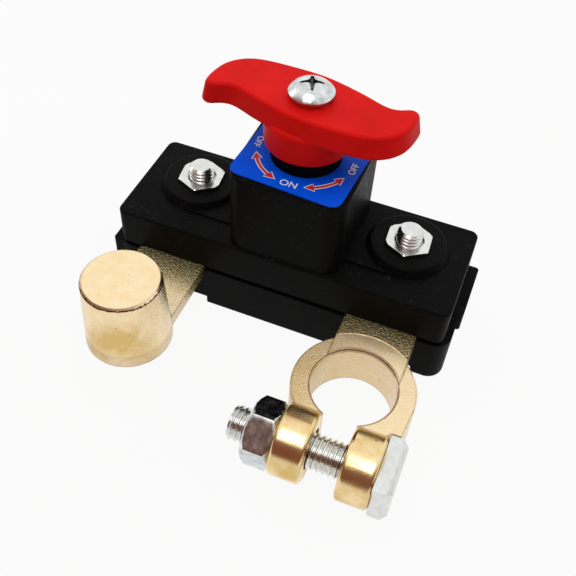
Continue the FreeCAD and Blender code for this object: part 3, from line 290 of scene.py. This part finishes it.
def cast_brass(name, zones):
    """Brass whose cast grain, polish, dark lines, stains and painted reflection of the box lie where
    zones puts them. Dark lines also run along the edges and creases, dirt gathers in the grain's
    hollows, and a few pits are strewn about."""
    material, tree, shader, where = start_material(name)
    place = node(tree, "SeparateXYZ", {"Vector": where}).outputs
    wander = grain(tree, where, 0.9 * MM, 5.0, 0.7)
    patches = grain(tree, where, 8 * MM, 3.0)
    mottle = grain(tree, where, 2.2 * MM, 5.0, 0.6)
    lumps = grain(tree, where, 0.55 * MM, 5.0, 0.7)
    fine = grain(tree, where, 0.16 * MM, 4.0, 0.6)
    pits = ramp(tree, grain(tree, where, 0.9 * MM, 2.0), (0.23, 0.85), (0.29, 0.0))
    along = node(tree, "Mapping", {"Vector": where, "Scale": (0.12, 1.0, 1.0)}).outputs[0]
    rubbed = grain(tree, along, 0.22 * MM, 4.0)
    zone = zones(tree, place, wander, patches)
    cast, polish = zone["cast"], zone["polish"]
    # Edges and creases, as the Bevel normal finds them, take the dark brown, broken up by noise.
    edge = times(tree, sharp_edges(tree, 0.7 * MM), ramp(tree, wander, (0.34, 0.25), (0.56, 1.0)))
    edge = times(tree, edge, math_node(tree, "SUBTRACT", 0.9, times(tree, polish, 0.6)))
    hollows = ramp(tree, lumps, (0.30, 1.0), (0.40, 0.0))
    grime_and_recess_shade = times(tree, hollows, math_node(tree, "ADD", times(tree, cast, 0.7), 0.15))

    tone = mix(tree, ramp(tree, mottle, (0.36, 0.0), (0.66, 1.0)), CREAM, WARM)
    buffed = mix(tree, ramp(tree, rubbed, (0.35, 0.0), (0.65, 1.0)), BUFFED_LIGHT, BUFFED_DEEP)
    tone = mix(tree, polish, tone, buffed)
    tone = mix(tree, zone["stain"], tone, GOLD)
    tone = mix(tree, grime_and_recess_shade, tone, GRIME)
    tone = mix(tree, pits, tone, PIT)
    # Olive painted in lumps over the bar as the black box's reflection.
    painted_box_reflection = times(tree, zone["painted_box_reflection"], ramp(tree, lumps, (0.40, 0.9), (0.60, 0.1)))
    tone = mix(tree, painted_box_reflection, tone, BOX_REFLECTION_OLIVE)
    feed(tree, shader, "Base Color", mix(tree, most(tree, zone["line"], edge), tone, DARK_LINE_BROWN))
    feed(tree, shader, "Metallic", rest_of(tree, times(tree, zone["dull"], 0.42)))
    smooth = ramp(tree, fine, (0.3, 0.24), (0.7, 0.34))
    rough = mix(tree, cast, smooth, ramp(tree, lumps, (0.3, 0.34), (0.7, 0.20)))
    buffed_rough = ramp(tree, patches, (0.4, 0.19), (0.62, 0.32))
    feed(tree, shader, "Roughness", mix(tree, polish, rough, buffed_rough))
    bumps(tree, shader, (mottle, 0.05 * MM, 0.3), (times(tree, cast, lumps), 0.20 * MM, 1.0),
          (fine, 0.012 * MM, 0.5), (times(tree, polish, rubbed), 0.02 * MM, 0.5))
    return material


coat_node("post_terminal", cast_brass("post_brass", post_zones))
coat_node("clamp_terminal", cast_brass("clamp_brass", clamp_zones))

# Upper half of the box
# One moulding in the same black nylon: a plate with two bolt bosses, the raised housing of the spindle
# and its round neck. The two box bolts clamp it onto the lower half.
coat_node("cover_housing", black_plastic)

# Bolts and nuts of the box
# Zinc-plated M6 steel bolts, with rolled threads, come up from below through the box and the bars.
# Their hexagon nuts sit in pockets of the cover's bosses.
AROUND = 96
FLATS_SHARPNESS = 90.0
CORNER_ANGLE = 32.0


def skin(name, grid, ring=False):
    """A closed mesh over rows of points that run round in columns; the rows close into a ring, or the
    first and last are closed by a fan to their middle."""
    rows, columns = grid.shape[:2]
    index = np.arange(rows * columns).reshape(rows, columns)
    lower = index if ring else index[:-1]
    upper = np.roll(index, -1, axis=0) if ring else index[1:]
    next_lower, next_upper = np.roll(lower, -1, 1), np.roll(upper, -1, 1)
    quads = np.stack([lower, next_lower, next_upper, upper], axis=-1).reshape(-1, 4)
    points, faces = grid.reshape(-1, 3), quads.tolist()
    if not ring:
        points = np.vstack([points, grid[0].mean(axis=0), grid[-1].mean(axis=0)])
        first, last = np.full(columns, rows * columns), np.full(columns, rows * columns + 1)
        faces += np.stack([first, np.roll(index[0], -1), index[0]], axis=-1).tolist()
        faces += np.stack([last, index[-1], np.roll(index[-1], -1)], axis=-1).tolist()
    mesh = bpy.data.meshes.new(name)
    mesh.from_pydata(points.tolist(), [], faces)
    mesh.polygons.foreach_set("use_smooth", [True] * len(mesh.polygons))
    mesh.set_sharp_from_angle(angle=math.radians(CORNER_ANGLE))
    piece = bpy.data.objects.new(name, mesh)
    scene.collection.objects.link(piece)
    return piece


def round_grid(radius, height):
    """Points at a radius for each row and angle, and a height for each row, round the Z axis."""
    angle = np.linspace(0, 2 * np.pi, radius.shape[1], endpoint=False)
    height = np.broadcast_to(height[:, None], radius.shape)
    return np.stack([radius * np.cos(angle), radius * np.sin(angle), height], axis=-1)


def polygon_radius(sides, across):
    """Radius at each angle of a polygon with a corner at angle 0 and a trace of rounding: half its width
    over a high power mean of the cosines to its sides."""
    angle = np.linspace(0, 2 * np.pi, AROUND, endpoint=False)
    normals = np.pi / sides + 2 * np.pi * np.arange(sides) / sides
    cosine = np.clip(np.cos(angle[:, None] - normals[None, :]), 0.0, None)
    return across / 2 / np.sum(cosine ** FLATS_SHARPNESS, axis=1) ** (1.0 / FLATS_SHARPNESS)


def turned(grid, degrees):
    """Points turned about the Z axis."""
    turn = math.radians(degrees)
    x, y, z = grid[..., 0], grid[..., 1], grid[..., 2]
    turned_x = x * math.cos(turn) - y * math.sin(turn)
    turned_y = x * math.sin(turn) + y * math.cos(turn)
    return np.stack([turned_x, turned_y, z], axis=-1)


def thread_rows(radius, pitch, length, bevel):
    """Radius and height of a screw thread: a rounded sawtooth in height plus angle, cut by a cone that
    narrows the tip, at height 0, by the bevel."""
    rows_per_turn, depth, cone_steepness = 12, 0.44 * pitch, 1.15
    height = np.arange(0.0, length, pitch / rows_per_turn)
    angle = np.linspace(0, 1, AROUND, endpoint=False)
    phase = height[:, None] / pitch + angle[None, :]
    ridge = 0.5 + 0.5 * np.cos(2 * np.pi * phase)
    surface = radius - depth * (1 - ridge ** 0.7)
    cone = radius + (height[:, None] - bevel) * cone_steepness
    return np.minimum(surface, np.maximum(cone, 0.2)), height


def nut_grid(across, height, bore, rim, steepness):
    """A nut standing on 0: a hexagon cut at both faces by a cone that starts at the rim's radius and
    widens by steepness for each unit of height, with a bevelled bore."""
    near_face = np.array([0, 0.03, 0.06, 0.09, 0.12, 0.16, 0.20, 0.3])
    far_face = np.array([0.5, 0.7, 0.80, 0.84, 0.88, 0.91, 0.94, 0.97, 1.0])
    rise = np.concatenate([near_face, far_face]) * height
    edge = np.minimum(rise, height - rise)[:, None]
    outside = np.minimum(polygon_radius(6, across)[None, :], rim + edge * steepness)
    mouth = 0.5
    inner = np.array([bore + mouth, bore, bore, bore + mouth])
    inner_height = np.array([height, height - mouth, mouth, 0.0])
    inside = np.broadcast_to(inner[:, None], (4, AROUND))
    return round_grid(np.vstack([outside, inside]), np.concatenate([rise, inner_height]))


zinc_steel, tree, shader, where = start_material("zinc_plated_steel", Metallic=1.0)
spangle = grain(tree, where, 1.8 * MM, 5.0, 0.6)
upright = node(tree, "Mapping", {"Vector": where, "Scale": (1.0, 1.0, 0.15)}).outputs[0]
scratch = grain(tree, upright, 0.30 * MM, 5.0)
dull = ramp(tree, spangle, (0.32, (0.66, 0.67, 0.66)), (0.66, (0.79, 0.80, 0.78)))
scratched = ramp(tree, scratch, (0.26, 0.8), (0.36, 0.0))
feed(tree, shader, "Base Color", mix(tree, scratched, dull, (0.40, 0.40, 0.38)))
feed(tree, shader, "Roughness", ramp(tree, scratch, (0.3, 0.13), (0.7, 0.28)))
bumps(tree, shader, (spangle, 0.03 * MM, 0.25), (scratch, 0.006 * MM, 0.3))

head_height, underside_rim, crown_rim = 4.0, 4.9, 5.3
for side, turn in (("left", 36.5), ("right", 34.0)):
    low, high = (np.array(corner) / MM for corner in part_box("box_bolt_" + side))
    middle, length = (low + high) / 2, high[2] - low[2]
    radius, height = thread_rows(radius=2.98, pitch=1.0, length=length - head_height, bevel=0.62)
    head = polygon_radius(6, across=10.0)
    underside, crown = np.minimum(head, underside_rim), np.minimum(head, crown_rim)
    radius = np.vstack([radius, underside, head, head, crown])
    height = np.concatenate([height, np.array([-head_height, -3.9, -0.3, 0.0]) + length])
    grid = round_grid(radius, height)
    grid = np.stack([grid[..., 0], -grid[..., 1], high[2] - grid[..., 2]], axis=-1)
    grid = turned(grid, turn) + np.array([middle[0], middle[1], 0.0])
    bolt = skin("box_bolt_%s_threaded" % side, grid * MM)
    bolt.data.materials.append(zinc_steel)
    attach(bolt, "housing")
    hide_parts("box_bolt_" + side)
    low, high = (np.array(corner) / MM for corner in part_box("box_nut_" + side))
    grid = nut_grid(across=10.0, height=high[2] - low[2], bore=3.05, rim=5.4, steepness=1.73)
    grid = turned(grid, turn) + np.array([middle[0], middle[1], low[2]])
    nut = skin("box_nut_%s_bevelled" % side, grid * MM, ring=True)
    nut.data.materials.append(zinc_steel)
    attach(nut, "housing")
    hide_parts("box_nut_" + side)

# Clamp bolt and nut
# A square-headed, zinc-plated M8 steel bolt runs through the ears, held from turning by the ring's stop;
# the bright-plated nut on its end draws the ears together.
low, high = (np.array(corner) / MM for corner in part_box("clamp_bolt"))
bolt_y, bolt_z = (low[1] + high[1]) / 2, (low[2] + high[2]) / 2
length, head_height, head_turn, nut_turn = high[0] - low[0], 4.2, 49.0, 37.0


def lay_on_bolt(grid, start):
    """Points whose Z axis is laid along the bolt's, with height 0 at the start."""
    return np.stack([grid[..., 2] + start, grid[..., 0] + bolt_y, grid[..., 1] + bolt_z], axis=-1)


radius, height = thread_rows(radius=3.93, pitch=1.25, length=length - head_height, bevel=0.5)
head, face = polygon_radius(4, across=13.0), polygon_radius(4, across=10.9) - 0.1
# The head's rows run from its underside to its bevelled face.
radius = np.vstack([radius, head - 0.4, head - 0.1, head, head, face + 0.15, face])
height = np.concatenate([height, np.array([-head_height, -4.1, -3.9, -1.3, -0.06, 0.0]) + length])
grid = lay_on_bolt(turned(round_grid(radius, height), head_turn), low[0])
clamp_bolt = skin("clamp_bolt_threaded", grid * MM)
clamp_bolt.data.materials.append(zinc_steel)
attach(clamp_bolt, "housing")
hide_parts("clamp_bolt")

bright_steel, tree, shader, where = start_material("bright_plated_steel", Metallic=1.0)
smear = grain(tree, where, 2.2 * MM, 4.0)
fine = grain(tree, where, 0.3 * MM, 4.0)
plating = ramp(tree, smear, (0.35, (0.46, 0.50, 0.51)), (0.65, (0.80, 0.82, 0.82)))
feed(tree, shader, "Base Color", plating)
feed(tree, shader, "Roughness", ramp(tree, smear, (0.3, 0.13), (0.7, 0.24)))
bumps(tree, shader, (smear, 0.05 * MM, 0.25), (fine, 0.006 * MM, 0.4))

low, high = (np.array(corner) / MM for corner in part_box("clamp_nut"))
grid = nut_grid(across=13.4, height=high[0] - low[0], bore=4.0, rim=6.35, steepness=1.25)
clamp_nut = skin("clamp_nut_bevelled", lay_on_bolt(turned(grid, nut_turn), low[0]) * MM, ring=True)
clamp_nut.data.materials.append(bright_steel)
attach(clamp_nut, "housing")
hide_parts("clamp_nut")

# Contact parts
# Turned steel spindle and coiled steel spring, rolled brass bridge, nylon carrier and washer, and a
# rubber seal. The spindle's square turns the carrier, and the box shuts them all in.
coat_node("spindle", zinc_steel)
coat_node("contact_spring", zinc_steel)

seal_rubber, tree, shader, where = start_material("seal_rubber")
dust = grain(tree, where, 0.8 * MM)
feed(tree, shader, "Base Color", ramp(tree, dust, (0.3, 0.010), (0.7, 0.022)))
feed(tree, shader, "Roughness", ramp(tree, dust, (0.3, 0.45), (0.7, 0.62)))
bumps(tree, shader, (dust, 0.02 * MM, 0.4))
coat_node("spindle_seal", seal_rubber)

white_nylon, tree, shader, where = start_material("natural_nylon", Subsurface_Weight=0.1)
haze = grain(tree, where, 3 * MM)
feed(tree, shader, "Base Color", ramp(tree, haze, (0.3, (0.74, 0.72, 0.66)), (0.7, (0.82, 0.80, 0.75))))
feed(tree, shader, "Roughness", ramp(tree, haze, (0.3, 0.38), (0.7, 0.5)))
bumps(tree, shader, (haze, 0.05 * MM, 0.3))
coat_node("thrust_washer", white_nylon)
coat_node("contact_carrier", white_nylon)

strip_brass, tree, shader, where = start_material("rolled_brass", Metallic=1.0)
lengthways = node(tree, "Mapping", {"Vector": where, "Scale": (1.0, 0.1, 1.0)}).outputs[0]
rolled = grain(tree, lengthways, 0.4 * MM)
strip_tone = ramp(tree, rolled, (0.3, (0.80, 0.58, 0.26)), (0.7, (0.90, 0.70, 0.38)))
feed(tree, shader, "Base Color", strip_tone)
feed(tree, shader, "Roughness", ramp(tree, rolled, (0.3, 0.2), (0.7, 0.34)))
bumps(tree, shader, (rolled, 0.01 * MM, 0.4))
coat_node("contact_bridge", strip_brass)

# Printed plate
# Blue printed film glued on the raised housing, a little askew. It shows the handle's positions: ON at
# the front and OFF at both sides, with a two-headed arrow between each pair.
label_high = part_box("label_plate")[1]
label_top = label_high.z / MM

blue_film, tree, shader, where = start_material("printed_blue_film", Specular_IOR_Level=0.08)
wash = grain(tree, where, 7 * MM, 3.0)
speck = grain(tree, where, 0.3 * MM, 5.0, 0.7)
blue = ramp(tree, wash, (0.25, (0.001, 0.076, 0.76)), (0.75, (0.001, 0.108, 0.90)))
feed(tree, shader, "Base Color", blue)
feed(tree, shader, "Roughness", ramp(tree, speck, (0.3, 0.25), (0.7, 0.36)))
bumps(tree, shader, (wash, 0.12 * MM, 0.3), (speck, 0.01 * MM, 0.4))
coat_node("label_plate", blue_film)


def print_ink(name, dark, light):
    """Ink with a slight unevenness between two colours."""
    material, tree, shader, where = start_material(name)
    blotch = grain(tree, where, 0.5 * MM, 5.0, 0.7)
    feed(tree, shader, "Base Color", ramp(tree, blotch, (0.3, dark), (0.7, light)))
    feed(tree, shader, "Roughness", ramp(tree, blotch, (0.3, 0.3), (0.7, 0.42)))
    bumps(tree, shader, (blotch, 0.004 * MM, 0.5))
    return material


white_ink = print_ink("white_ink", (0.70, 0.74, 0.80), (0.84, 0.87, 0.90))
red_ink = print_ink("red_ink", (0.58, 0.012, 0.030), (0.72, 0.020, 0.040))


def arc_arrow(name, start, end, spread, foot, thickness, ink, radius=10.9):
    """A two-headed arrow bent round the hole: its half width grows from a point to a head's back, drops
    to the shaft's and mirrors at the far end; spread widens and lengthens it all round."""
    head, head_half, shaft_half, shaft_rows = 1.9, 1.0, 0.30, 24
    span = math.radians(abs(end - start)) * radius
    tip = np.array([-1.6 * spread, head + 0.3 * spread, head + 0.3 * spread])
    tip_half = np.array([0.02, head_half + 1.2 * spread, shaft_half + spread])
    shaft = np.linspace(head + 0.6, span - head - 0.6, shaft_rows)
    along = np.concatenate([tip, shaft, span - tip[::-1]])
    half = np.concatenate([tip_half, np.full(shaft_rows, shaft_half + spread), tip_half[::-1]])
    angle = math.radians(start) + along / radius
    across = np.array([-1.0, 1.0, 1.0, -1.0])
    reach = radius + half[:, None] * across[None, :]
    height = np.broadcast_to(foot + np.array([0, 0, thickness, thickness]), reach.shape)
    grid = np.stack([reach * np.cos(angle)[:, None], reach * np.sin(angle)[:, None], height], axis=-1)
    piece = skin(name, grid[::-1] * MM)
    piece.data.materials.append(ink)
    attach(piece, "housing")


def printed_word(name, text, size, radius, angle):
    """A word set round the hole with its top towards the middle."""
    curve = bpy.data.curves.new(name, "FONT")
    curve.body = text
    curve.size = size
    curve.align_x = "CENTER"
    curve.align_y = "CENTER"
    curve.extrude = 0.006 * MM
    curve.offset = size * 0.012
    source = bpy.data.objects.new(name + "_text", curve)
    scene.collection.objects.link(source)
    mesh = bpy.data.meshes.new_from_object(source.evaluated_get(bpy.context.evaluated_depsgraph_get()))
    bpy.data.objects.remove(source)
    spot = math.radians(angle)
    turn = Matrix.Rotation(spot + math.pi / 2, 4, "Z")
    lift = label_high.z + 0.008 * MM
    mesh.transform(Matrix.Translation((radius * math.cos(spot), radius * math.sin(spot), lift)) @ turn)
    mesh.name = name
    mesh.materials.clear()
    mesh.materials.append(white_ink)
    piece = bpy.data.objects.new(name, mesh)
    scene.collection.objects.link(piece)
    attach(piece, "housing")


edge_spread, edge_thickness, fill_thickness = 0.22, 0.012, 0.010
fill_foot = label_top + edge_thickness
for side, start, end in (("left", -158.0, -108.5), ("right", -71.0, -23.0)):
    arc_arrow("arrow_edge_" + side, start, end, edge_spread, label_top, edge_thickness, white_ink)
    arc_arrow("arrow_fill_" + side, start, end, 0.0, fill_foot, fill_thickness, red_ink)
printed_word("word_on", "ON", size=2.5 * MM, radius=10.7 * MM, angle=-90.0)
printed_word("word_off_right", "OFF", size=2.1 * MM, radius=11.1 * MM, angle=-3.0)
printed_word("word_off_left", "OFF", size=2.1 * MM, radius=11.1 * MM, angle=-178.0)

# Handle
# One moulding in red plastic, satin and a little rubbed: an S-shaped grip on a round hub that fits over
# the spindle's square. A zinc-plated steel washer lies on it under the screw's head.
red_plastic, tree, shader, where = start_material("red_moulded_plastic", Specular_IOR_Level=0.05)
flow = grain(tree, where, 8 * MM, 3.0)
satin = grain(tree, where, 0.35 * MM, 4.0, 0.6)
rubbed = ramp(tree, grain(tree, where, 1.4 * MM, 7.0, 0.75), (0.58, 0.0), (0.76, 0.6))
moulded = ramp(tree, flow, (0.3, (0.63, 0.0055, 0.0045)), (0.7, (0.75, 0.0075, 0.0060)))
feed(tree, shader, "Base Color", mix(tree, rubbed, moulded, (0.84, 0.020, 0.015)))
feed(tree, shader, "Roughness", ramp(tree, satin, (0.3, 0.34), (0.7, 0.46)))
bumps(tree, shader, (flow, 0.25 * MM, 0.3), (satin, 0.02 * MM, 0.35))
coat_node("knob", red_plastic)
coat_node("knob_washer", zinc_steel)

# Handle screw
# Bright-plated steel screw with a domed head and a pressed cross recess, whose sunk faces are painted
# dark as shade. It pulls the handle down onto the spindle.
low, high = (np.array(corner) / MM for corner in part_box("knob_screw"))
head_radius, dome_height, rim_height, shank = 4.85, 2.6, 0.35, 2.4
cross_turn = math.radians(20.0)
columns, dome_rows, shank_rows = 360, 109, 6


def recess_depth(across, along):
    """Depth of the cross recess at a place on the head: the greater of four wings, which narrow and grow
    shallow outwards, and of a slanting core in the middle."""
    narrow, wide = np.minimum(np.abs(across), np.abs(along)), np.maximum(np.abs(across), np.abs(along))
    wing = np.clip((0.55 - 0.12 * wide - narrow) / 0.10, 0, 1) * np.clip((2.5 - wide) / 0.15, 0, 1)
    core = np.clip((0.95 - narrow - 0.55 * wide) / 0.12, 0, 1)
    wing_depth = np.clip(2.0 - 0.62 * wide, 0.25, None)
    core_depth = np.clip(1.9 - 0.5 * wide, 0.3, None)
    return np.maximum(wing * wing_depth, core * core_depth)


def screw_grid(recess, distance, angle):
    """Rows up the shank and under the head, then inwards over a dome, which is part of a sphere through
    the rim and the crown, less the recess."""
    seat, crown = high[2] - dome_height, dome_height - rim_height
    swell = (head_radius ** 2 + crown ** 2) / (2 * crown)
    dome = (dome_height - swell + np.sqrt(swell ** 2 - distance ** 2))[:, None] - recess
    bottom = low[2] - seat
    below = np.array([[shank - 0.6, bottom], [shank, bottom + 0.6], [shank, 0.0],
                      [head_radius - 0.1, 0.0], [head_radius, 0.1], [head_radius, rim_height - 0.08]])
    radius = np.concatenate([below[:, 0], distance])[:, None] + np.zeros(columns)
    height = np.vstack([below[:, 1:] + np.zeros(columns), dome]) + seat
    return np.stack([radius * np.cos(angle), radius * np.sin(angle), height], axis=-1)


distance = np.linspace(1.0, 0.0, dome_rows + 1)[:-1] * head_radius
angle = np.linspace(0, 2 * np.pi, columns, endpoint=False)
cross_angle = angle - cross_turn
recess = recess_depth(distance[:, None] * np.cos(cross_angle), distance[:, None] * np.sin(cross_angle))
screw = skin("knob_screw_crossed", screw_grid(recess, distance, angle) * MM)

# Painted shade: the recess's faces get a dark steel, varied by noise.
recess_shade_steel, tree, shader, where = start_material("recess_painted_shade_steel", Metallic=1.0)
grime_and_recess_shade = grain(tree, where, 0.3 * MM, 5.0)
shadow = ramp(tree, grime_and_recess_shade, (0.3, (0.035, 0.040, 0.040)), (0.7, (0.16, 0.17, 0.16)))
feed(tree, shader, "Base Color", shadow)
feed(tree, shader, "Roughness", ramp(tree, grime_and_recess_shade, (0.3, 0.30), (0.7, 0.5)))
bumps(tree, shader, (grime_and_recess_shade, 0.02 * MM, 0.5))
screw.data.materials.append(bright_steel)
screw.data.materials.append(recess_shade_steel)
# Faces sunk more than 0.12 mm take the painted shade.
sunk = np.vstack([np.zeros((shank_rows, columns)), recess]) > 0.12
quad_sunk = (sunk[:-1] & sunk[1:]).reshape(-1)
shank_fan, crown_fan = np.zeros(columns, bool), np.ones(columns, bool)
finish = np.concatenate([quad_sunk, shank_fan, crown_fan]).astype(np.int32)
screw.data.polygons.foreach_set("material_index", finish)
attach(screw, "rotor")
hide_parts("knob_screw")

# Floor and light
# A pale floor that glows for the camera and in reflections, so that it fades into the white ground. The
# tent round it is bright above and behind, and warm and dim towards the camera. A soft lamp hangs
# overhead and one stands at the left.
half = 2.0
corners = [(-half, -half, 0), (half, -half, 0), (half, half, 0), (-half, half, 0)]
floor_mesh = bpy.data.meshes.new("floor")
floor_mesh.from_pydata(corners, [], [(0, 1, 2, 3)])
floor = bpy.data.objects.new("floor", floor_mesh)
floor.location.z = -0.02 * MM
scene.collection.objects.link(floor)
pale_floor, tree, shader, where = start_material("pale_floor", Roughness=0.9, Specular_IOR_Level=0.1)
feed(tree, shader, "Base Color", ramp(tree, grain(tree, where, 60 * MM, 2.0), (0.3, 0.52), (0.7, 0.55)))
glow = node(tree, "Emission", {"Color": (1.0, 1.0, 1.0, 1.0), "Strength": 1.0})
path = node(tree, "LightPath").outputs
share = times(tree, most(tree, path["Is Camera Ray"], path["Is Glossy Ray"]), 0.93)
blend = node(tree, "MixShader", {0: share, 1: shader.outputs[0], 2: glow.outputs[0]})
tree.links.new(blend.outputs[0], tree.nodes["Material Output"].inputs["Surface"])
floor.data.materials.append(pale_floor)


def soft_lamp(name, spot, size, power):
    """A square lamp at a spot, turned towards the switch; size in metres, power in watts."""
    data = bpy.data.lights.new(name, "AREA")
    data.size = size
    data.energy = power
    lamp = bpy.data.objects.new(name, data)
    scene.collection.objects.link(lamp)
    lamp.location = spot
    lamp.rotation_euler = (lamp_aim - Vector(spot)).to_track_quat("-Z", "Y").to_euler()


lamp_aim = Vector((0, -0.02, 0.03))
soft_lamp("overhead_lamp", (-0.02, -0.26, 0.62), size=0.34, power=0.75)
soft_lamp("left_lamp", (-0.75, 0.05, 0.35), size=0.30, power=0.35)
dim_side, lit_side, ground = (0.20, 0.085, 0.058), (1.04, 1.04, 1.03), (1.0, 1.0, 1.0)
world = bpy.data.worlds.new("tent")
world.use_nodes = True
tree = world.node_tree
direction = tree.nodes.new("ShaderNodeTexCoord").outputs["Generated"]
aim = node(tree, "SeparateXYZ", {"Vector": direction}).outputs
lean = math_node(tree, "ADD", times(tree, aim[2], 0.74), times(tree, aim[1], 0.67))
tent = mix(tree, slope(tree, lean, 0.08, 0.40), dim_side, lit_side)
seen = node(tree, "LightPath").outputs["Is Camera Ray"]
tree.links.new(mix(tree, seen, tent, ground), tree.nodes["Background"].inputs["Color"])
scene.world = world
